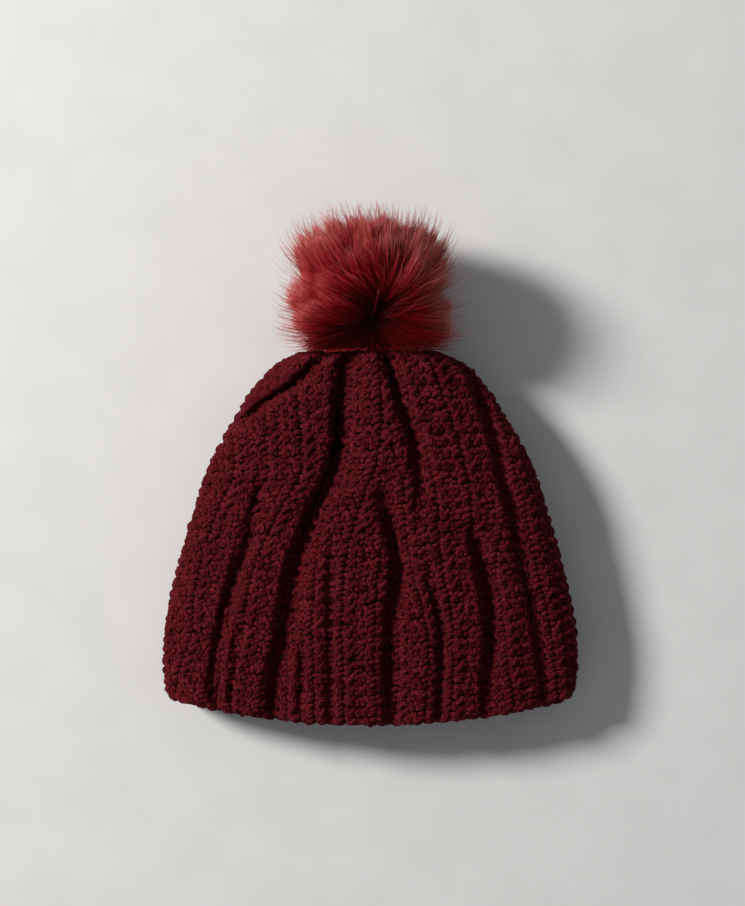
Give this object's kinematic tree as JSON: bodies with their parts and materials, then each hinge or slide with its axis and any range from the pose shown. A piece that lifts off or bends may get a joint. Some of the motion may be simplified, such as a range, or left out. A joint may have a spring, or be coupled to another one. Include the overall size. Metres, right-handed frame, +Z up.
{
  "type": "knit beanie",
  "caption": "Crocheted ribbed beanie lying flat, drawn shut into pleats at the crown, with a faux-fur pom-pom held by an elastic loop and a button.",
  "frame": {"origin": "bottom centre of the whole object as it lies on its back, at the height of the surface that it rests on", "axes": "+Z up from the surface, +Y from the hem to the crown and the pom-pom, +X across the width"},
  "size_m": [0.2298, 0.2851, 0.0854],
  "materials": {
    "wool_yarn": "dark burgundy spun yarn, matt with a faint fuzz",
    "button_wood": "plain oiled wood",
    "elastic_cord": "black braided elastic",
    "sewing_thread": "dark red thread",
    "fur_backing": "knitted backing cloth",
    "fibre_filling": "loose white polyester fibre",
    "faux_fur": "long glossy red pile with paler tips"
  },
  "bodies": {
    "hat": {"crochet_body": "wool_yarn", "seam_yarn": "wool_yarn", "crown_drawstring": "wool_yarn"},
    "toggle": {"anchor_button": "button_wood", "elastic_loop": "elastic_cord"},
    "neck": {"elastic_knot": "elastic_cord"},
    "pompom": {"gather_thread": "sewing_thread", "pompom_backing": "fur_backing", "pompom_filling": "fibre_filling", "pompom_fur": "faux_fur"}
  },
  "joints": [
    {"name": "pompom_twist", "type": "hinge", "parent": "hat", "child": "toggle", "pos_m": [0, 0.0715, 0.03], "axis": [0, 0.9336, 0.3584], "range_deg": [-180, 180]},
    {"name": "pompom_nod", "type": "hinge", "parent": "toggle", "child": "neck", "pos_m": [0, 0.0715, 0.03], "axis": [1, 0, 0], "range_deg": [0, 30]},
    {"name": "pompom_sway", "type": "hinge", "parent": "neck", "child": "pompom", "pos_m": [0, 0.0715, 0.03], "axis": [0, -0.3584, 0.9336], "range_deg": [-20, 20]}
  ]
}
